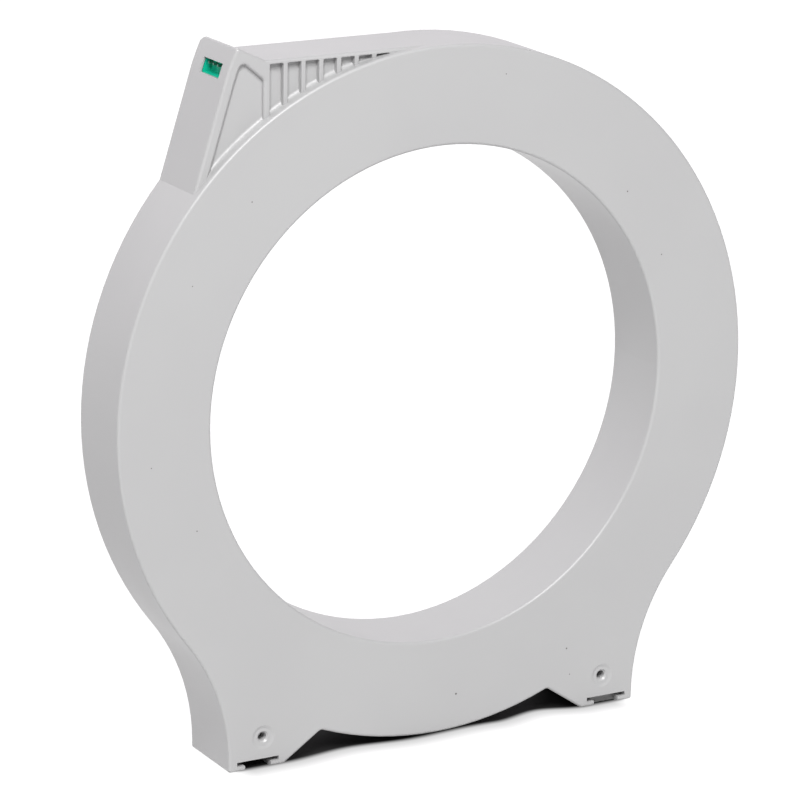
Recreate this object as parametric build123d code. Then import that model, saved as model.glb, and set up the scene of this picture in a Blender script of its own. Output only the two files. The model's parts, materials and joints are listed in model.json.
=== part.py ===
from build123d import *
from math import acos, asin, atan2, cos, degrees, radians, sin, sqrt
import os

os.makedirs("parts", exist_ok=True)

# A ring current transformer that stands on two moulded feet, with its electronics in a raised
# module at the upper left. Sizes are in millimetres. The origin is the centre of the cable bore
# at half depth: +X to the right seen from the front, +Y along the bore to the rear, +Z up.

# Ring
bore_radius = 105.0
ring_width = 41.0
ring_depth = 35.0
wall = 2.5
edge_round = 1.2

# Feet: each flank is an arc tangent to the ring that ends in a short upright stretch,
# and each heel is a slope that rises to the ring
foot_half_width = 96.85
foot_length = 25.2
foot_drop = 1.3
foot_upright = 3.2
heel_slope = 34.3
toe_round = 1.0
heel_round = 2.0
notch_round = 2.2

# T-slot in each foot, open below, with a stop across the right one's mouth
slot_inset = 13.2
slot_width = 19.1
slot_height = 1.9
slot_mouth = 11.9
slot_lip = 2.2
slot_stop_inset = 3.7
slot_stop_thickness = 1.8

# Screw pillar in each foot, with the hole that shows in the front face
pillar_inset = 15.55
pillar_height = 13.2
pillar_radius = 5.0
pillar_web = 2.0
pillar_hole_radius = 1.8
pillar_hole_depth = 12.0
pillar_hole_chamfer = 0.8
pillar_dish_radius = 5.2
pillar_dish_slope = 1.3
pillar_dish_depth = 0.4

# Module: a slanted end wall with a horn at its top, a sunk panel and a comb of pockets
module_setback = 3.6
module_top_drop = 0.15
end_wall_inset = 12.0
end_wall_tilt = 17.3
knee_drop = 7.35
knee_radius = 80.0
horn_rise = 6.0
horn_length = 18.2
horn_ridge_round = 0.9
horn_corner_radius = 5.0
rim_width = 4.5
panel_depth = 1.8
panel_peak_rise = 0.15
panel_corner_drop = 7.85
panel_corner_round = 2.0
panel_rim_round = 1.3
panel_cove = 1.5
comb_inset = 17.2
comb_post = 2.6
pocket_count = 7
pocket_rib = 1.93
pocket_tail = 1.3
pocket_depth = 2.4
pocket_roof = 1.6
pocket_corner_round = 0.5
pocket_rim_round = 0.3
pocket_cove = 1.6
compartment_length = 47.2

# Rear cover, let into a rebate in the housing's rear edge
cover_thickness = 2.5
cover_recess = 0.3
cover_gap = 0.15
rebate_wall = 1.7
cover_lip_width = 1.2
cover_lip_height = 1.7

# Screws, all with the same shank and countersunk head
shank_radius = 1.6
shank_clearance = 0.2
head_radius = 3.4
drive_radius = 1.3
drive_depth = 1.1
tip_length = 1.2
tip_radius = 0.7
foot_tip_inset = 4.5
cover_screw_length = 14.0
cover_screw_angles = (-30.0, 30.0, 90.0, 150.0, 210.0)
boss_radius = 4.2
boss_overlap = 0.8
pilot_extra = 1.0

# Core and what is wound round it: the core fills the room that these pieces and gaps leave
core_gap = 0.3
core_bore_clearance = 2.3
core_boss_clearance = 2.9
case_wall = 1.2
winding_sleeve = 0.4
turn_height = 0.8
turn_width = 3.2
turn_count = 40
wrap_thickness = 0.3
cushion_thickness = 2.85
cushion_inset = 1.0
centring_rib_count = 12
centring_rib_first = 15.0
centring_rib_thickness = 1.6
centring_rib_end_gap = 6.7
centring_gap = 0.3
shield_thickness = 1.0
shield_gap = 0.2
shield_end_gap = 2.85

# Circuit board and what holds it in the module
board_drop = 7.55
board_thickness = 1.6
board_inset = 2.9
board_length = 37.0
board_gap = 0.2
board_stop_length = 2.4
board_stop_width = 4.0
board_stop_inset = 20.3
rail_thickness = 1.6
rail_insets = (6.3, 33.3)
clamp_inset = 34.8
clamp_shift = 3.7
clamp_length = 6.0
clamp_gap = 0.1

# Terminal header behind the window in the end wall, where the wall is thinned for it
window_wall = 0.9
window_width = 16.4
window_height = 5.9
header_shift = -1.3
header_length = 8.4
header_width = 16.9
header_height = 7.2
header_wall = 0.7
header_cavity = 2.75
header_clearance = 0.25
pin_count = 4
pin_pitch = 3.81
pin_size = 1.0
pin_reach = 2.0
pin_raise = 1.0
pin_drop_gap = 0.6
pin_tail = 1.5
pin_hole_radius = 0.75

# Other pieces on the board, placed from its left end and its middle line
leg_width = 0.5
leg_height = 0.2
leg_reach = 1.0
leg_pitch = 1.27
processor_place = (19.1, 5.1)
processor_size = (7.0, 7.0, 1.6)
amplifier_place = (19.1, -3.9)
amplifier_size = (5.0, 4.0, 1.5)
transformer_place = (29.3, 1.3)
transformer_size = (8.0, 9.0, 4.0)
transformer_flange = 0.8
transformer_waist = 0.7
capacitor_inset = 15.8
capacitor_shifts = (-3.8, 4.7)
capacitor_radius = 3.15
capacitor_clearance = 2.45
capacitor_groove = 0.3
capacitor_groove_width = 0.8
socket_size = (5.0, 8.0, 5.0)
lead_inset = 22.3
lead_shift = 0.7
lead_spacing = 3.0
lead_radius = 0.7
lead_bend = 4.0
lead_hole_size = (4.5, 8.0)

# How far a cutting shape runs on past the surface that it cuts
overshoot = 3.0

# Ring and feet, worked out from the sizes above
ring_radius = bore_radius + ring_width
front_y = -ring_depth / 2
rear_y = ring_depth / 2
cavity_front = front_y + wall
cover_rear = rear_y - cover_recess
seat_y = cover_rear - cover_thickness
foot_base = -(ring_radius + foot_drop)
slot_ceiling = foot_base + slot_lip + slot_height
slot_x = foot_half_width - slot_inset
pillar_x = foot_half_width - pillar_inset
pillar_z = foot_base + pillar_height
heel_x = foot_half_width - foot_length
flank_z = foot_base + foot_upright
flank_reach = foot_half_width ** 2 + flank_z ** 2 - ring_radius ** 2
flank_radius = flank_reach / (2 * (ring_radius - foot_half_width))
flank_x = foot_half_width + flank_radius
boss_ring_radius = ring_radius - wall - boss_radius + boss_overlap

# Module: the knee lies on the end wall's plane, at its own height
module_front = front_y + module_setback
module_top = ring_radius - module_top_drop
panel_floor = module_front + panel_depth
pocket_floor = module_front + pocket_depth
crest_z = module_top + horn_rise
tilt = radians(end_wall_tilt)
knee_z = module_top - knee_drop
knee_x = -(ring_radius - end_wall_inset - knee_z * sin(tilt)) / cos(tilt)
knee_centre_x = knee_x + knee_radius * cos(tilt)
knee_centre_z = knee_z - knee_radius * sin(tilt)
comb_left = knee_x + comb_inset
pocket_top = module_top - pocket_roof
first_pocket = comb_left + comb_post
last_pocket_end = -sqrt(ring_radius ** 2 - pocket_top ** 2) - pocket_tail
pocket_pitch = (last_pocket_end + pocket_rib - first_pocket) / pocket_count
pocket_width = pocket_pitch - pocket_rib
compartment_right = knee_x + compartment_length

# Core and winding: layers from the core outwards
winding_build = winding_sleeve + turn_height + wrap_thickness
core_cover = core_gap + case_wall + winding_build
shield_inner = bore_radius + wall + shield_gap
core_inner_radius = shield_inner + shield_thickness + core_bore_clearance + core_cover
core_outer_radius = boss_ring_radius - boss_radius - core_boss_clearance - core_cover
core_height = seat_y - cavity_front - 2 * (cushion_thickness + core_cover)
core_mid_y = (cavity_front + seat_y) / 2
wrap_outer_radius = core_outer_radius + core_cover

# Circuit board and the pieces on it
board_left = knee_x + board_inset
board_right = board_left + board_length
board_top = module_top - board_drop
board_bottom = board_top - board_thickness
board_front = pocket_floor + wall + board_gap
board_rear = seat_y - board_stop_length
board_mid_y = (board_front + board_rear) / 2
header_y = board_mid_y + header_shift
header_mid_z = board_top + header_height / 2
lead_x = board_left + lead_inset
lead_y = board_mid_y + lead_shift


def slab(profile, y_from, y_to):
    # A profile drawn in X and Z, given thickness between two places along Y
    return extrude(Plane.XZ.offset(-y_to) * profile, y_to - y_from)


def block(x_from, x_to, y_from, y_to, z_from, z_to):
    middle = Pos((x_from + x_to) / 2, (y_from + y_to) / 2, (z_from + z_to) / 2)
    return middle * Box(x_to - x_from, y_to - y_from, z_to - z_from)


def upright(x_from, x_to, z_from, z_to):
    # A rectangle of the drawing in X and Z
    return Pos((x_from + x_to) / 2, (z_from + z_to) / 2) * Rectangle(x_to - x_from, z_to - z_from)


def disc(radius, x=0.0, z=0.0):
    return Pos(x, z) * Circle(radius)


def annulus(inner, outer, y_from, y_to):
    return slab(disc(outer) - disc(inner), y_from, y_to)


def turned(outline, x=0.0, z=0.0):
    # A half section of radius against Y, turned round an axis along Y
    return Pos(x, 0, z) * revolve(make_face(Polyline(*outline, close=True)), Axis.Y)


def polar(radius, angle):
    return (radius * cos(radians(angle)), radius * sin(radians(angle)))


def along(point, direction, radius):
    # Where a line from a point outside a circle round the origin first meets that circle
    dot = point[0] * direction[0] + point[1] * direction[1]
    spare = point[0] ** 2 + point[1] ** 2 - radius ** 2
    run = -dot - sqrt(dot ** 2 - spare)
    return (point[0] + run * direction[0], point[1] + run * direction[1])


def mirrored(points):
    return [(-x, z) for x, z in points]


def nearest(corners, points):
    return [corners.sort_by_distance((x, z, 0))[0] for x, z in points]


def foot_corners(inset, floor):
    # Notch, heel and toe of the right foot, with the outline moved inwards by the inset
    slope = radians(heel_slope)
    heel_line = (heel_x + inset * sin(slope), foot_base + inset * cos(slope))
    notch = along(heel_line, (-cos(slope), sin(slope)), ring_radius - inset)
    heel = (heel_line[0] - (floor - heel_line[1]) / sin(slope) * cos(slope), floor)
    rise = max(floor - flank_z, 0.0)
    toe = (flank_x - sqrt((flank_radius + inset) ** 2 - rise ** 2), floor)
    return notch, heel, toe


def ring_outline(inset=0.0, floor=foot_base):
    radius = ring_radius - inset
    flank = flank_radius + inset
    low = max(floor, flank_z)
    turn = degrees(asin(-flank_z / (ring_radius + flank_radius)))
    sweep_down = turn - degrees(asin((low - flank_z) / flank))
    notch, heel, toe = foot_corners(inset, floor)
    notch_turn = degrees(atan2(-notch[1], notch[0]))
    foot = [notch, heel, toe]
    if low > floor:
        foot.append((toe[0], low))
    edges = [
        CenterArc((0, 0), radius, -turn, 180 + 2 * turn),
        CenterArc((0, 0), radius, notch_turn - 180, 180 - 2 * notch_turn),
        CenterArc((flank_x, flank_z), flank, 180 - turn, sweep_down),
        CenterArc((-flank_x, flank_z), flank, turn - sweep_down, sweep_down),
    ]
    edges += Polyline(*foot).edges()
    edges += Polyline(*mirrored(foot)).edges()
    return make_face(edges)


def rounded_ring_outline():
    outline = ring_outline()
    notch, heel, toe = foot_corners(0.0, foot_base)
    for corner, radius in ((notch, notch_round), (heel, heel_round), (toe, toe_round)):
        corners = nearest(outline.vertices(), [corner] + mirrored([corner]))
        outline = fillet(corners, radius)
    return outline


def end_wall_point(height, inset):
    # A point of the end wall above its knee, where the wall is a long arc
    radius = knee_radius - inset
    return (knee_centre_x - sqrt(radius ** 2 - (height - knee_centre_z) ** 2), height)


def module_outline(inset, top, roof=()):
    # The end wall, moved inwards, and a roof from its top point, down to the ring's outer wall
    radius = knee_radius - inset
    knee = (knee_centre_x - radius * cos(tilt), knee_centre_z + radius * sin(tilt))
    base = along(knee, (-sin(tilt), -cos(tilt)), ring_radius - wall / 2)
    wall_top = end_wall_point(top, inset)
    halfway = end_wall_point((knee[1] + top) / 2, inset)
    roof_line = [wall_top, *roof, (0, top if not roof else roof[-1][1]), (0, 0), base]
    edges = [Line(base, knee), ThreePointArc(knee, halfway, wall_top)]
    edges += Polyline(*roof_line).edges()
    return make_face(edges) - disc(ring_radius - wall)


def interior(inset):
    # The outline of all that lies inside the housing's side walls, moved inwards
    floor = slot_ceiling + inset
    return ring_outline(inset, floor) + module_outline(inset, module_top - inset)


def ring_body():
    body = slab(rounded_ring_outline() - disc(bore_radius), front_y, rear_y)
    faces = body.faces().filter_by(Axis.Y).sort_by(Axis.Y)
    body = fillet(faces[0].edges() + faces[-1].edges(), edge_round)
    for side in (-1, 1):
        body -= foot_slot(side)
        body -= pillar_hole(side)
    return body


def module_body():
    roof = [(knee_x + horn_length, module_top)]
    outline = module_outline(0.0, crest_z, roof)
    body = slab(outline, module_front, rear_y)
    crest = end_wall_point(crest_z, 0.0)
    ridge = body.edges().filter_by(Axis.Y).sort_by_distance((crest[0], 0, crest[1]))[0]
    body = fillet(ridge, horn_ridge_round)
    faces = body.faces().filter_by(Axis.Y).sort_by(Axis.Y)
    rims = [edge for face in (faces[0], faces[-1]) for edge in face.edges() if is_outside(edge)]
    body = fillet(rims, edge_round)
    corner_y, corner_z = rear_y - horn_corner_radius, crest_z - horn_corner_radius
    corner = block(2 * knee_x, 0, corner_y, rear_y + overshoot, corner_z, crest_z + overshoot)
    bar = Rot(0, 90, 0) * Cylinder(horn_corner_radius, -4 * knee_x)
    body -= corner - Pos(0, corner_y, corner_z) * bar
    body = sunk(body, panel_profile(), panel_floor, panel_cove, panel_rim_round)
    for number in range(pocket_count):
        body = sunk(body, pocket_profile(number), pocket_floor, pocket_cove, pocket_rim_round)
    return body


def is_outside(edge):
    # Edges of the module's outline, apart from those that lie within the ring
    middle = edge @ 0.5
    return middle.X ** 2 + middle.Z ** 2 > ring_radius ** 2


def sunk(body, profile, floor_y, cove_radius, rim_radius):
    # A recess in the module's front, with a rounded rim and a cove along the ring
    body -= slab(profile, module_front - overshoot, floor_y)
    rim = []
    for edge in profile.edges():
        middle = edge @ 0.5
        if middle.X ** 2 + middle.Y ** 2 > ring_radius ** 2:
            rim.append(body.edges().sort_by_distance((middle.X, module_front, middle.Y))[0])
    body = fillet(rim, rim_radius)
    reach = slab(offset(profile, rim_radius), floor_y - cove_radius, floor_y + wall / 2)
    return body + (reach & cove(floor_y, cove_radius))


def cove(floor_y, radius):
    # The concave round between a recess's floor and the ring's outer wall, all round the ring
    start, end = (ring_radius, floor_y - radius), (ring_radius + radius, floor_y)
    root, back = ring_radius - wall, floor_y + wall
    turn = radius * (1 - sqrt(0.5))
    edges = [ThreePointArc(start, (ring_radius + turn, floor_y - turn), end)]
    edges += Polyline(end, (end[0], back), (root, back), (root, start[1]), start).edges()
    return revolve(make_face(edges), Axis.Y)


def panel_profile():
    peak = end_wall_point(module_top + panel_peak_rise, rim_width)
    corner = (comb_left, module_top - panel_corner_drop)
    far = 2 * knee_x
    mask = [(comb_left, 0), corner, peak, (far, peak[1]), (far, 0)]
    outline = module_outline(rim_width, peak[1]) & make_face(Polyline(*mask, close=True))
    return fillet(nearest(outline.vertices(), [peak, corner]), panel_corner_round)


def pocket_profile(number):
    left = first_pocket + number * pocket_pitch
    right = left + pocket_width
    outline = upright(left, right, 0, pocket_top) - disc(ring_radius - wall)
    corners = nearest(outline.vertices(), [(left, pocket_top), (right, pocket_top)])
    return fillet(corners, pocket_corner_round)


def ring_cavity():
    outline = ring_outline(wall, slot_ceiling + wall) - disc(bore_radius + wall)
    for side in (-1, 1):
        outline -= disc(pillar_radius, side * pillar_x, pillar_z)
        web = Rectangle(pillar_web, 2 * pillar_radius)
        outline -= Pos(side * pillar_x, pillar_z - pillar_radius) * web
    for angle in cover_screw_angles:
        outline -= disc(boss_radius, *polar(boss_ring_radius, angle))
    ribs = Part()
    rib_root = ring_radius - wall / 2
    rib_nose = wrap_outer_radius + centring_gap
    half = centring_rib_thickness / 2
    for number in range(centring_rib_count):
        angle = centring_rib_first + number * 360 / centring_rib_count
        rib = block(rib_nose, rib_root, cavity_front, seat_y - centring_rib_end_gap, -half, half)
        ribs += Rot(0, -angle, 0) * rib
    return slab(outline, cavity_front, rear_y + overshoot) - ribs


def module_cavity():
    inside = module_outline(wall, module_top - wall) - disc(ring_radius)
    left = inside & upright(2 * knee_x, comb_left, 0, crest_z)
    right = inside & upright(comb_left, compartment_right, 0, crest_z)
    end = rear_y + overshoot
    cavity = slab(left, panel_floor + wall, end) + slab(right, pocket_floor + wall, end)
    return cavity - board_supports()


def board_supports():
    # Two rails under the board, and a clamp that holds it down from the roof
    supports = Part()
    half = rail_thickness / 2
    for inset in rail_insets:
        x = board_left + inset
        supports += block(x - half, x + half, module_front, seat_y - board_gap, 0, board_bottom)
    x, y = board_left + clamp_inset, board_mid_y + clamp_shift
    supports += block(x - half, x + half, y - clamp_length / 2, y + clamp_length / 2,
                      board_top + clamp_gap, module_top)
    return supports


def header_front_point(height):
    # Where the header's face, parallel to the end wall, lies at a height
    return end_wall_point(height, window_wall + header_clearance)[0]


def header_back_x():
    return header_front_point(header_mid_z) + header_length


def pin_drop_x():
    return header_back_x() + pin_drop_gap + pin_size / 2


def header_profile(inset, right, low, high):
    # The drawing behind the end wall, moved inwards, between two heights
    return module_outline(inset, high) & upright(2 * knee_x, right, low, high)


def header_room():
    top = board_top + header_height + header_clearance
    reach = header_width / 2 + header_clearance
    room = slab(header_profile(window_wall, pin_drop_x() + pin_size, board_bottom, top),
                header_y - reach, header_y + reach)
    window = block(2 * knee_x, knee_x + wall + overshoot, header_y - window_width / 2,
                   header_y + window_width / 2, header_mid_z - window_height / 2,
                   header_mid_z + window_height / 2)
    return room + window


def foot_slot(side):
    start, end = front_y - overshoot, rear_y + overshoot
    wide = block(slot_x - slot_width / 2, slot_x + slot_width / 2, start, end,
                 foot_base + slot_lip, slot_ceiling)
    mouth = block(slot_x - slot_mouth / 2, slot_x + slot_mouth / 2, start, end,
                  foot_base - overshoot, slot_ceiling)
    slot = wide + mouth
    if side > 0:
        stop_y = front_y + slot_stop_inset
        slot -= block(slot_x - slot_mouth / 2, slot_x + slot_width / 2, stop_y,
                      stop_y + slot_stop_thickness, foot_base, slot_ceiling)
    return slot if side > 0 else mirror(slot, Plane.YZ)


def pillar_hole(side):
    mouth_y = front_y + pillar_dish_depth
    wide_end = mouth_y + pillar_hole_depth
    outline = [
        (0, front_y - overshoot),
        (pillar_dish_radius, front_y - overshoot),
        (pillar_dish_radius, front_y),
        (pillar_dish_radius - pillar_dish_slope, mouth_y),
        (pillar_hole_radius + pillar_hole_chamfer, mouth_y),
        (pillar_hole_radius, mouth_y + pillar_hole_chamfer),
        (pillar_hole_radius, wide_end),
        (shank_radius, wide_end),
        (shank_radius, rear_y + overshoot),
        (0, rear_y + overshoot),
    ]
    return turned(outline, side * pillar_x, pillar_z)


def pilot_hole(angle):
    x, z = polar(boss_ring_radius, angle)
    depth = cover_screw_length + pilot_extra
    return slab(disc(shank_radius, x, z), cover_rear - depth, rear_y + overshoot)


def front_housing():
    body = ring_body() + module_body()
    body -= ring_cavity()
    body -= module_cavity()
    body -= header_room()
    rebate = interior(rebate_wall) - disc(bore_radius + rebate_wall)
    body -= slab(rebate, seat_y, rear_y + overshoot)
    body -= lead_hole()
    for angle in cover_screw_angles:
        body -= pilot_hole(angle)
    return body


def lead_hole():
    half_x, half_y = lead_hole_size[0] / 2, lead_hole_size[1] / 2
    height = sqrt(ring_radius ** 2 - lead_x ** 2)
    return block(lead_x - half_x, lead_x + half_x, lead_y - half_y, lead_y + half_y,
                 height - wall - overshoot, height + overshoot)


def screw_places():
    places = {"foot_screw_left": (-pillar_x, pillar_z), "foot_screw_right": (pillar_x, pillar_z)}
    for number, angle in enumerate(cover_screw_angles, 1):
        places[f"cover_screw_{number}"] = polar(boss_ring_radius, angle)
    return places


def rear_cover():
    inset = rebate_wall + cover_gap
    plate = slab(interior(inset) - disc(bore_radius + inset), seat_y, cover_rear)
    lip_inner = bore_radius + wall + cover_gap
    plate += annulus(lip_inner, lip_inner + cover_lip_width, seat_y - cover_lip_height, seat_y)
    stop_x = board_left + board_stop_inset
    plate += block(stop_x - board_stop_width / 2, stop_x + board_stop_width / 2,
                   board_rear + board_gap, seat_y, board_bottom, board_top)
    hole = shank_radius + shank_clearance
    low, high = seat_y - overshoot, cover_rear + overshoot
    sink = [(0, low), (hole, low), (hole, cover_rear - head_radius + hole),
            (head_radius, cover_rear), (head_radius, high), (0, high)]
    for x, z in screw_places().values():
        plate -= turned(sink, x, z)
    return plate


def screw(x, z, tip_y):
    outline = [
        (0, cover_rear),
        (head_radius, cover_rear),
        (shank_radius, cover_rear - head_radius + shank_radius),
        (shank_radius, tip_y + tip_length),
        (tip_radius, tip_y),
        (0, tip_y),
    ]
    drive = slab(Pos(x, z) * RegularPolygon(drive_radius, 6),
                 cover_rear - drive_depth, cover_rear + overshoot)
    return turned(outline, x, z) - drive


def magnetic_core():
    half = core_height / 2
    return annulus(core_inner_radius, core_outer_radius, core_mid_y - half, core_mid_y + half)


def core_room():
    # The space that the case leaves for the core
    half = core_height / 2 + core_gap
    return annulus(core_inner_radius - core_gap, core_outer_radius + core_gap,
                   core_mid_y - half, core_mid_y + half)


def shell_round_core(growth):
    # A ring round the case's outside, grown by the same amount in radius and in half height
    build = core_gap + case_wall + growth
    half = core_height / 2 + build
    return annulus(core_inner_radius - build, core_outer_radius + build,
                   core_mid_y - half, core_mid_y + half)


def core_case():
    lid_plane = core_mid_y + core_height / 2 + core_gap
    trough = shell_round_core(0) - core_room()
    lid_room = annulus(bore_radius, ring_radius, lid_plane, rear_y)
    return trough - lid_room


def core_case_lid():
    lid_plane = core_mid_y + core_height / 2 + core_gap
    inner = core_inner_radius - core_gap
    outer = core_outer_radius + core_gap
    lid = annulus(inner - case_wall, outer + case_wall, lid_plane, lid_plane + case_wall)
    lip_end = lid_plane - core_gap
    return lid + annulus(inner + core_gap, outer - core_gap, lip_end, lid_plane)


def secondary_winding():
    build = core_gap + case_wall + winding_sleeve + turn_height
    half = core_height / 2 + build
    reach = sqrt((core_outer_radius + build) ** 2 - (turn_width / 2) ** 2)
    turn = block(core_inner_radius - build, reach, core_mid_y - half, core_mid_y + half,
                 -turn_width / 2, turn_width / 2)
    turns = [Rot(0, number * 360 / turn_count, 0) * turn for number in range(turn_count)]
    return shell_round_core(winding_sleeve) + turns - shell_round_core(0)


def winding_wrap():
    return shell_round_core(winding_build) - shell_round_core(winding_build - wrap_thickness)


def shield_band():
    return annulus(shield_inner, shield_inner + shield_thickness,
                   cavity_front + shield_end_gap, seat_y - shield_end_gap)


def cushion(y_from, y_to):
    return annulus(core_inner_radius + cushion_inset, core_outer_radius - cushion_inset,
                   y_from, y_to)


def circuit_board():
    board = block(board_left, board_right, board_front, board_rear, board_bottom, board_top)
    for y in pin_rows():
        board -= Pos(pin_drop_x(), y, board_top) * Cylinder(pin_hole_radius, 3 * board_thickness)
    return board


def pin_rows():
    first = header_y - (pin_count - 1) * pin_pitch / 2
    return [first + number * pin_pitch for number in range(pin_count)]


def terminal_header():
    top = board_top + header_height
    front, rear = header_y - header_width / 2, header_y + header_width / 2
    face = window_wall + header_clearance
    body = slab(header_profile(face, header_back_x(), board_top, top), front, rear)
    cavity_back = header_front_point(header_mid_z) + header_cavity
    body -= block(2 * knee_x, cavity_back, front + header_wall, rear - header_wall,
                  board_top + header_wall, top - header_wall)
    half, pin_z = pin_size / 2, header_mid_z + pin_raise
    for y in pin_rows():
        body -= block(knee_x, header_back_x(), y - half, y + half, pin_z - half, pin_z + half)
    return body


def header_pin(y):
    half, pin_z = pin_size / 2, header_mid_z + pin_raise
    tip_x = header_front_point(header_mid_z) + header_cavity - pin_reach
    level = block(tip_x, pin_drop_x() + half, y - half, y + half, pin_z - half, pin_z + half)
    drop = block(pin_drop_x() - half, pin_drop_x() + half, y - half, y + half,
                 board_bottom - pin_tail, pin_z)
    return level + drop


def on_board(place):
    return (board_left + place[0], board_mid_y + place[1])


def chip(place, size):
    # A moulded body with a row of legs along each long side
    x, y = on_board(place)
    length, width, height = size
    body = block(x - length / 2, x + length / 2, y - width / 2, y + width / 2,
                 board_top + leg_height, board_top + height)
    count = int(length / leg_pitch)
    for number in range(count):
        leg_x = x + (number - (count - 1) / 2) * leg_pitch
        body += block(leg_x - leg_width / 2, leg_x + leg_width / 2, y - width / 2 - leg_reach,
                      y + width / 2 + leg_reach, board_top, board_top + 2 * leg_height)
    return body


def isolating_transformer():
    x, y = on_board(transformer_place)
    length, width, height = transformer_size
    body = block(x - length / 2, x + length / 2, y - width / 2, y + width / 2,
                 board_top, board_top + height)
    middle = block(x - length, x + length, y - width, y + width,
                   board_top + transformer_flange, board_top + height - transformer_flange)
    waist = block(x - length / 2 + transformer_waist, x + length / 2 - transformer_waist,
                  y - width / 2 + transformer_waist, y + width / 2 - transformer_waist,
                  board_top, board_top + height)
    return body - (middle - waist)


def filter_capacitor(shift):
    # Hangs under the board, down to a clearance above the ring's outer wall
    x, y = on_board((capacitor_inset, shift))
    top = board_bottom
    ring_top = sqrt(ring_radius ** 2 - (x + capacitor_radius) ** 2)
    bottom = ring_top + capacitor_clearance
    groove_top = top - capacitor_groove_width
    groove_bottom = groove_top - capacitor_groove_width
    outline = [(0, bottom), (capacitor_radius, bottom), (capacitor_radius, groove_bottom),
               (capacitor_radius - capacitor_groove, groove_bottom),
               (capacitor_radius - capacitor_groove, groove_top),
               (capacitor_radius, groove_top), (capacitor_radius, top), (0, top)]
    section = Plane.XZ * make_face(Polyline(*outline, close=True))
    return Pos(x, y, 0) * revolve(section, Axis.Z)


def lead_rows():
    return [lead_y - lead_spacing / 2, lead_y + lead_spacing / 2]


def lead_socket():
    length, width, height = socket_size
    return block(lead_x - length / 2, lead_x + length / 2, lead_y - width / 2, lead_y + width / 2,
                 board_bottom - height, board_bottom)


def winding_lead(y):
    # Leaves the wrap square to it, then turns up to the socket under the board
    bend_radius = (wrap_outer_radius + ring_radius - wall) / 2
    angle = degrees(acos(lead_x / bend_radius))
    end = (lead_x, board_bottom - socket_size[2])
    corners = (polar(wrap_outer_radius, angle), polar(bend_radius, angle), end)
    path = FilletPolyline(*[(x, y, z) for x, z in corners], radius=lead_bend)
    section = Plane(origin=path @ 0, z_dir=path % 0) * Circle(lead_radius)
    return sweep(section, path=path)


def all_parts():
    parts = {
        "front_housing": front_housing(),
        "rear_cover": rear_cover(),
        "magnetic_core": magnetic_core(),
        "core_case": core_case(),
        "core_case_lid": core_case_lid(),
        "secondary_winding": secondary_winding(),
        "winding_wrap": winding_wrap(),
        "shield_band": shield_band(),
        "cushion_front": cushion(cavity_front, cavity_front + cushion_thickness),
        "cushion_rear": cushion(seat_y - cushion_thickness, seat_y),
        "circuit_board": circuit_board(),
        "terminal_header": terminal_header(),
        "processor_chip": chip(processor_place, processor_size),
        "amplifier_chip": chip(amplifier_place, amplifier_size),
        "isolating_transformer": isolating_transformer(),
        "lead_socket": lead_socket(),
    }
    for name, (x, z) in screw_places().items():
        is_foot = name.startswith("foot")
        tip_y = front_y + foot_tip_inset if is_foot else cover_rear - cover_screw_length
        parts[name] = screw(x, z, tip_y)
    for number, y in enumerate(pin_rows(), 1):
        parts[f"header_pin_{number}"] = header_pin(y)
    for number, shift in enumerate(capacitor_shifts, 1):
        parts[f"filter_capacitor_{number}"] = filter_capacitor(shift)
    for number, y in enumerate(lead_rows(), 1):
        parts[f"winding_lead_{number}"] = winding_lead(y)
    return parts


for name, part in all_parts().items():
    export_step(part, f"parts/{name}.step")
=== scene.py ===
import json
from math import pi, radians

import bpy
from mathutils import Matrix, Vector


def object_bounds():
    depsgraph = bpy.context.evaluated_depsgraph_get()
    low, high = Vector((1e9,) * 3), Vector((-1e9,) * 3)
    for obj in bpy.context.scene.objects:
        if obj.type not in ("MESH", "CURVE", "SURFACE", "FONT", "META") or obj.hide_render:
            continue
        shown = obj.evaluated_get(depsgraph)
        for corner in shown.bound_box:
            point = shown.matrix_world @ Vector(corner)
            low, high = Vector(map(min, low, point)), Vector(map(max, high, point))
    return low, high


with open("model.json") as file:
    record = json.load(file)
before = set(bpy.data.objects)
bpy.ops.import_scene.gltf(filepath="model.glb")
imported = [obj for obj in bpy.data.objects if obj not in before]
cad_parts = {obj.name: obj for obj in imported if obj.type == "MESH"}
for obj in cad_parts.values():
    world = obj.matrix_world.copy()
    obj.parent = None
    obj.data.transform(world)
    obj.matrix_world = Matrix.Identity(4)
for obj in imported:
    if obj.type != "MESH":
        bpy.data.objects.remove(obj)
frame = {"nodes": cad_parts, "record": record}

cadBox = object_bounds()
nodes = frame["nodes"]
floorHeight = cadBox[0].z
mm = 0.001
print("frame loaded:", len(nodes), "nodes")


class Wire:  # one output socket, so that shader maths reads as arithmetic
    def __init__(self, bench, socket):
        self.bench = bench
        self.socket = socket

    def maths(self, operation, first, second):
        return self.bench.node("ShaderNodeMath", {"operation": operation}, {0: first, 1: second})

    def __add__(self, other):
        return self.maths("ADD", self, other)

    def __radd__(self, other):
        return self.maths("ADD", other, self)

    def __sub__(self, other):
        return self.maths("SUBTRACT", self, other)

    def __rsub__(self, other):
        return self.maths("SUBTRACT", other, self)

    def __mul__(self, other):
        return self.maths("MULTIPLY", self, other)

    def __rmul__(self, other):
        return self.maths("MULTIPLY", other, self)

    def __abs__(self):
        return self.maths("ABSOLUTE", self, 0.0)


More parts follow.
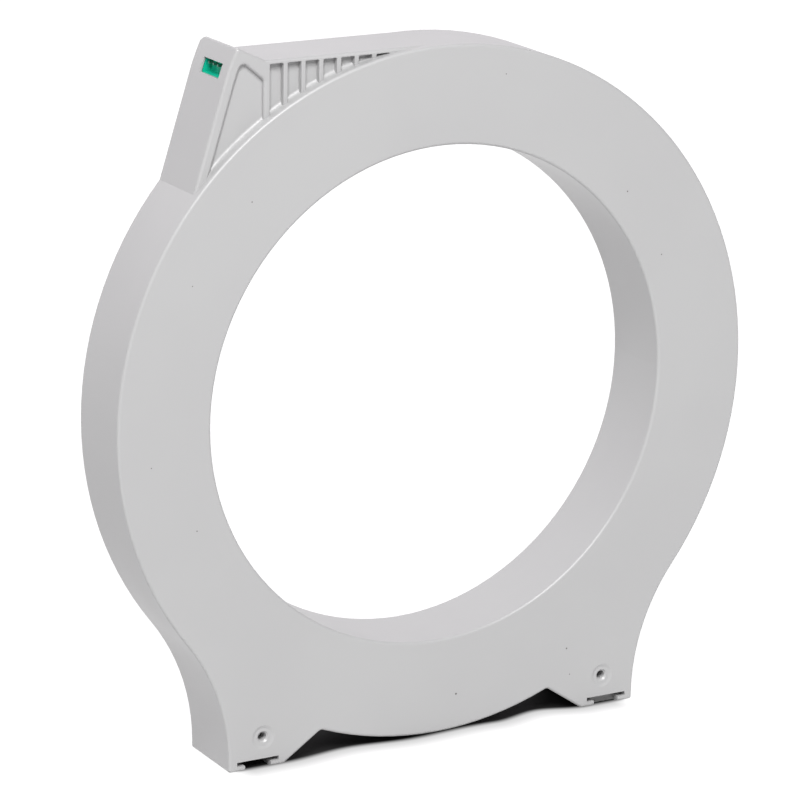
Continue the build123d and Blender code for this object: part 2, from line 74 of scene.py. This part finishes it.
class Bench:  # a shader's nodes while they are being wired up
    def __init__(self, tree, shader, coordinates):
        self.tree = tree
        self.shader = tree.nodes[shader]
        self.place = self.node("ShaderNodeTexCoord", output=coordinates)

    def node(self, kind, settings=None, sockets=None, output=0):
        made = self.tree.nodes.new(kind)
        for name, value in (settings or {}).items():
            setattr(made, name, value)
        for name, value in (sockets or {}).items():
            if isinstance(value, Wire):
                self.tree.links.new(value.socket, made.inputs[name])
            else:
                made.inputs[name].default_value = value
        return Wire(self, made.outputs[output])

    def feed(self, socket, value):
        self.tree.links.new(value.socket, self.shader.inputs[socket])

    def along(self, axis):
        return self.node("ShaderNodeSeparateXYZ", {}, {0: self.place}, output=axis)

    def noise(self, scale, detail=2.0, roughness=0.5, stretch=(1, 1, 1)):
        moved = self.node("ShaderNodeVectorMath", {"operation": "MULTIPLY"},
                          {0: self.place, 1: stretch})
        return self.node("ShaderNodeTexNoise", {}, {"Vector": moved, "Scale": scale,
                         "Detail": detail, "Roughness": roughness})

    def step(self, value, start, end):
        return self.node("ShaderNodeMapRange", {"interpolation_type": "SMOOTHSTEP"},
                         {"Value": value, "From Min": start, "From Max": end})

    def blend(self, factor, first, second):
        return self.node("ShaderNodeMix", {"data_type": "RGBA"},
                         {0: factor, 6: (*first, 1) if isinstance(first, tuple) else first,
                          7: (*second, 1) if isinstance(second, tuple) else second}, output=2)

    def distance(self, point):
        return self.node("ShaderNodeVectorMath", {"operation": "DISTANCE"},
                         {0: self.place, 1: point}, output="Value")


class Finish(Bench):  # a material, with the part's own coordinates to hand
    def __init__(self, name, roughness, metallic=0.0):
        self.material = bpy.data.materials.new(name)
        self.material.use_nodes = True
        super().__init__(self.material.node_tree, "Principled BSDF", "Object")
        self.shader.inputs["Roughness"].default_value = roughness
        self.shader.inputs["Metallic"].default_value = metallic

    def bump(self, height, depth):
        self.feed("Normal", self.node("ShaderNodeBump", {}, {"Height": height, "Distance": depth,
                                                             "Strength": 1.0}))


# The housing's light grey moulded plastic, with the few dark specks that it has
housingLook = {
    "light": (0.388, 0.387, 0.389),
    "dark": (0.379, 0.377, 0.380),
    "driftScale": 14.0,             # how often it changes between these two, per metre
    "driftEdges": (0.35, 0.65),
    "roughness": 0.36,
    "roughnessSwing": 0.08,
    "roughnessScale": 40.0,
    "grainScale": 1500.0,
    "grainDepth": 0.004 * mm,
    "waveScale": 60.0,
    "waveDepth": 0.02 * mm,
    "speckColor": (0.10, 0.095, 0.09),
    "speckEdges": (0.5, 1.1),       # where a speck starts and ends to fade, in its radius
    # x, y, z and radius of each speck, in millimetres
    "specks": [(9.4, -17.5, -130.4, 0.55), (63.3, -17.5, -119.0, 0.45),
               (65.1, -17.5, -130.9, 0.3), (87.4, -17.5, 77.3, 0.4), (105.1, -17.5, 48.5, 0.35),
               (-87.0, -17.5, 90.8, 0.35), (27.9, -17.5, 131.9, 0.3),
               (-111.3, -17.5, -41.3, 0.35), (-131.3, -17.5, -12.4, 0.3),
               (-113.1, -17.5, 59.6, 0.3), (38.4, -15.4, 140.9, 0.45), (39.2, -17.0, 140.6, 0.35)],
}


def mouldedPlastic(name, look, specks=()):
    finish = Finish(name, look["roughness"])
    drift = finish.step(finish.noise(look["driftScale"], detail=3.0), *look["driftEdges"])
    color = finish.blend(drift, look["dark"], look["light"])
    solidTo, goneBy = look["speckEdges"]
    for x, y, z, radius in specks:
        away = finish.distance((x * mm, y * mm, z * mm))
        mask = 1 - finish.step(away, solidTo * radius * mm, goneBy * radius * mm)
        color = finish.blend(mask, color, look["speckColor"])
    finish.feed("Base Color", color)
    uneven = finish.noise(look["roughnessScale"], detail=4.0)
    finish.feed("Roughness", uneven * look["roughnessSwing"]
                + (look["roughness"] - look["roughnessSwing"] / 2))
    grain = finish.noise(look["grainScale"], detail=1.0) * look["grainDepth"]
    wave = finish.noise(look["waveScale"], detail=1.0) * look["waveDepth"]
    finish.bump(grain + wave, 1.0)  # both heights are in metres already
    return finish.material


# Metal pieces: drawn or turned, with fine lines. The contacts are dull; their dark green colour is
# a painted reflection of the green socket round them and painted shade
metalLines = {
    "detail": 3.0,
    "breakUp": 0.6,
    "roughnessSwing": 0.16,
    "depth": 0.01 * mm,
}
metalLooks = {
    "screw": {"light": (0.62, 0.63, 0.64), "dark": (0.50, 0.51, 0.53), "roughness": 0.34,
              "stretch": (1, 1, 1), "lines": 900.0},
    # the contact's colour: a painted reflection of the green socket and painted shade, not the
    # metal's own colour
    "contact": {"light": (0.16, 0.30, 0.24), "dark": (0.12, 0.24, 0.19), "roughness": 0.5,
                "stretch": (1, 12, 12), "lines": 300.0},
    "capacitor": {"light": (0.72, 0.73, 0.75), "dark": (0.62, 0.63, 0.65), "roughness": 0.3,
                  "stretch": (1, 1, 10), "lines": 220.0},
    "shield": {"light": (0.60, 0.61, 0.62), "dark": (0.46, 0.47, 0.49), "roughness": 0.38,
               "stretch": (1, 18, 1), "lines": 160.0},
}


def metal(name, look):
    finish = Finish(name, look["roughness"], 1.0)
    lines = finish.noise(look["lines"], metalLines["detail"], metalLines["breakUp"],
                         look["stretch"])
    swing = metalLines["roughnessSwing"]
    finish.feed("Base Color", finish.blend(lines, look["dark"], look["light"]))
    finish.feed("Roughness", lines * swing + (look["roughness"] - swing / 2))
    finish.bump(lines, metalLines["depth"])
    return finish.material


# Plain moulded, coated or rubbery pieces: colour drift, a fine grain and their own gloss
softDrift = {
    "scale": 90.0,
    "share": 0.6,  # of the change of colour, the rest is the grain's
    "roughnessSwing": 0.12,
}
softLooks = {
    "green_plastic": {"light": (0.006, 0.46, 0.30), "dark": (0.004, 0.40, 0.26),
                      "roughness": 0.34, "grain": 1400.0, "depth": 0.006 * mm},
    "board": {"light": (0.010, 0.16, 0.055), "dark": (0.006, 0.11, 0.035), "roughness": 0.22,
              "grain": 700.0, "depth": 0.012 * mm},
    "chip": {"light": (0.030, 0.030, 0.032), "dark": (0.018, 0.018, 0.02), "roughness": 0.62,
             "grain": 2600.0, "depth": 0.01 * mm},
    "ferrite": {"light": (0.060, 0.058, 0.060), "dark": (0.034, 0.033, 0.036),
                "roughness": 0.55, "grain": 1800.0, "depth": 0.03 * mm},
    "socket": {"light": (0.72, 0.70, 0.62), "dark": (0.66, 0.64, 0.57), "roughness": 0.4,
               "grain": 1500.0, "depth": 0.006 * mm},
    "case": {"light": (0.030, 0.031, 0.034), "dark": (0.021, 0.022, 0.025),
             "roughness": 0.42, "grain": 1200.0, "depth": 0.01 * mm},
    "foam": {"light": (0.028, 0.028, 0.029), "dark": (0.008, 0.008, 0.009),
             "roughness": 0.95, "grain": 900.0, "depth": 0.25 * mm},
    "lead": {"light": (0.022, 0.022, 0.024), "dark": (0.014, 0.014, 0.015),
             "roughness": 0.5, "grain": 1600.0, "depth": 0.006 * mm},
}


def softPiece(name, look):
    finish = Finish(name, look["roughness"])
    grain = finish.noise(look["grain"])
    drift = finish.noise(softDrift["scale"], detail=3.0)
    share, swing = softDrift["share"], softDrift["roughnessSwing"]
    shade = drift * share + grain * (1 - share)
    finish.feed("Base Color", finish.blend(shade, look["dark"], look["light"]))
    finish.feed("Roughness", drift * swing + (look["roughness"] - swing / 2))
    finish.bump(grain, look["depth"])
    return finish.material


# Wound pieces: rings about the bore's axis, each a turn of tape or wire
turnWander = {
    "scale": 120.0,
    "angle": 1.5,  # how far a turn strays from its true ring, as an angle of the wave
}
woundLooks = {
    "core": {"light": (0.52, 0.53, 0.55), "dark": (0.26, 0.27, 0.29), "roughness": 0.34,
             "metallic": 1.0, "turns": 3400.0, "depth": 0.03 * mm},
    "copper": {"light": (0.62, 0.26, 0.10), "dark": (0.30, 0.09, 0.03), "roughness": 0.3,
               "metallic": 0.6, "turns": 2600.0, "depth": 0.08 * mm},
    "tape": {"light": (0.78, 0.52, 0.06), "dark": (0.60, 0.38, 0.03), "roughness": 0.26,
             "metallic": 0.0, "turns": 60.0, "depth": 0.06 * mm},
}


def woundPiece(name, look):
    finish = Finish(name, look["roughness"], look["metallic"])
    across = finish.node("ShaderNodeVectorMath", {"operation": "MULTIPLY"},
                         {0: finish.place, 1: (1, 0, 1)})
    radius = finish.node("ShaderNodeVectorMath", {"operation": "LENGTH"}, {0: across},
                         output="Value")
    phase = radius * look["turns"] + finish.noise(turnWander["scale"]) * turnWander["angle"]
    sine = finish.node("ShaderNodeMath", {"operation": "SINE"}, {0: phase})
    wave = sine * 0.5 + 0.5  # from 0 to 1
    finish.feed("Base Color", finish.blend(wave, look["dark"], look["light"]))
    finish.bump(wave, look["depth"])
    return finish.material


def dressNodes():
    finishes = {
        "housing": mouldedPlastic("housingPlastic", housingLook, housingLook["specks"]),
        "cover": mouldedPlastic("coverPlastic", housingLook),
    }
    for slot, look in metalLooks.items():
        finishes[slot] = metal(slot + "Metal", look)
    for slot, look in softLooks.items():
        finishes[slot] = softPiece(slot + "Surface", look)
    for slot, look in woundLooks.items():
        finishes[slot] = woundPiece(slot + "Winding", look)
    for row in frame["record"]["subparts"]:
        piece = nodes[row["node"]]
        for holder in piece.material_slots:
            holder.material = finishes[row["material_slot"]]
    print("finishes:", len(finishes), "on", len(nodes), "nodes")


# The plain pale floor: a white table that glows evenly, with a painted shadow under the part (a
# dark patch in its colour and glow) and a painted soft shade reaching out in front of it
floorLook = {
    "color": (0.05, 0.05, 0.05),
    "glow": (1.0, 0.995, 1.0),
    "halfSize": 12.0,
    "roughness": 0.8,
    "shadowHalfWidth": 93.0 * mm,
    "shadowFront": -16.7 * mm,
    "shadowRear": 15.0 * mm,
    # where the painted shadow's front edge draws back: x, half width and how far, in millimetres
    "drawnBack": [(-40.0, 30.0, 3.4), (20.0, 30.0, 1.6), (52.0, 22.0, 5.4)],
    "softEdge": 2.4 * mm,
    "paintedSoftShadeReach": 13.0 * mm,
    "paintedSoftShadeInset": 7.2 * mm,          # how far inside the painted shadow's ends the painted soft shade starts to fade
    "paintedSoftShadeDepth": 0.38,
}


def layFloor():
    look, black = floorLook, (0, 0, 0)
    half = look["halfSize"]
    mesh = bpy.data.meshes.new("studioFloor")
    corners = [(-half, -half), (half, -half), (half, half), (-half, half)]
    mesh.from_pydata([(x, y, floorHeight) for x, y in corners], [], [(0, 1, 2, 3)])
    floor = bpy.data.objects.new("studioFloor", mesh)
    bpy.context.scene.collection.objects.link(floor)
    finish = Finish("paperFloor", look["roughness"])
    x, y = finish.along("X"), finish.along("Y")
    edge = look["shadowFront"]
    for middle, reach, depth in look["drawnBack"]:
        near = 1 - finish.step(abs(x - middle * mm), 0.0, reach * mm)
        edge = edge + near * (depth * mm)
    soft, reach = look["softEdge"], look["paintedSoftShadeReach"]
    sideways = abs(x) - look["shadowHalfWidth"]
    rearward = y - look["shadowRear"]
    # painted shadow: a dark patch on the floor under the part, with a painted soft shade around
    # it; both darken the floor's colour and glow
    paintedShadow = (finish.step(y - edge, -soft, soft) * (1 - finish.step(sideways, -soft, soft))
              * (1 - finish.step(rearward, -soft, soft)))
    paintedSoftShade = (finish.step(y - edge, -reach, 0.0)
            * (1 - finish.step(sideways, -look["paintedSoftShadeInset"], soft))
            * (1 - finish.step(rearward, -soft, reach)))
    paintedLitShare = (1 - paintedShadow) * (1 - paintedSoftShade * look["paintedSoftShadeDepth"])
    finish.feed("Base Color", finish.blend(paintedLitShare, black, look["color"]))
    finish.feed("Emission Color", finish.blend(paintedLitShare, black, look["glow"]))
    finish.shader.inputs["Emission Strength"].default_value = 1.0
    mesh.materials.append(finish.material)
    print("floor laid at", round(floorHeight / mm, 2), "mm")


# Soft studio light: a nearly white wall of light behind the part, and round lamps in front
lightLook = {
    "wallColor": (1.0, 0.955, 1.0),
    "wallStrength": 1.32,
    "lampDistance": 3.6,
    "lampWidth": 0.88,
    # each lamp: turned from the front towards +X and raised, in degrees, and its strength
    "lamps": [(-38, 42, 1.98), (4, 40, 0.98), (-22, 56, 2.02)],
}


def setLights():
    world = bpy.data.worlds.new("studioWall")
    world.use_nodes = True
    sky = Bench(world.node_tree, "Background", "Generated")
    sky.shader.inputs["Color"].default_value = (*lightLook["wallColor"], 1)
    toRear = sky.node("ShaderNodeMath", {"operation": "MAXIMUM"}, {0: sky.along("Y"), 1: 0.0})
    sky.feed("Strength", toRear * lightLook["wallStrength"])
    bpy.context.scene.world = world
    away = lightLook["lampDistance"]
    for number, (turn, raised, strength) in enumerate(lightLook["lamps"], 1):
        data = bpy.data.lights.new(f"lamp{number}", "AREA")
        data.shape = "DISK"
        data.size = lightLook["lampWidth"]
        data.energy = strength * pi * away ** 2
        lamp = bpy.data.objects.new(f"lamp{number}", data)
        bpy.context.scene.collection.objects.link(lamp)
        aim = (Matrix.Rotation(radians(turn), 4, "Z")
               @ Matrix.Rotation(radians(90 - raised), 4, "X"))
        lamp.matrix_world = aim @ Matrix.Translation((0, 0, away))
    print("lights set:", len(lightLook["lamps"]), "lamps and the wall")


# The camera that took the picture: a long lens, to the left of and above the part
cameraLook = {
    "place": Vector((-794.6, -1397.3, 455.4)) * mm,
    "yaw": 29.3316,
    "pitch": 16.0103,
    "roll": 0.7402,
    "lens": 182.33,
    "sensor": 36.0,
    "seesTo": 100.0,
}


def placeCamera():
    data = bpy.data.cameras.new("camera")
    data.lens = cameraLook["lens"]
    data.sensor_width = cameraLook["sensor"]
    data.clip_end = cameraLook["seesTo"]
    camera = bpy.data.objects.new("camera", data)
    bpy.context.scene.collection.objects.link(camera)
    aim = (Matrix.Rotation(-radians(cameraLook["yaw"]), 3, "Z")
           @ Matrix.Rotation(radians(90 - cameraLook["pitch"]), 3, "X")
           @ Matrix.Rotation(radians(cameraLook["roll"]), 3, "Z"))
    camera.matrix_world = Matrix.Translation(cameraLook["place"]) @ aim.to_4x4()
    bpy.context.scene.camera = camera
    bpy.context.scene.view_settings.view_transform = "Standard"
    print("camera placed")


placeCamera()
layFloor()
setLights()
dressNodes()
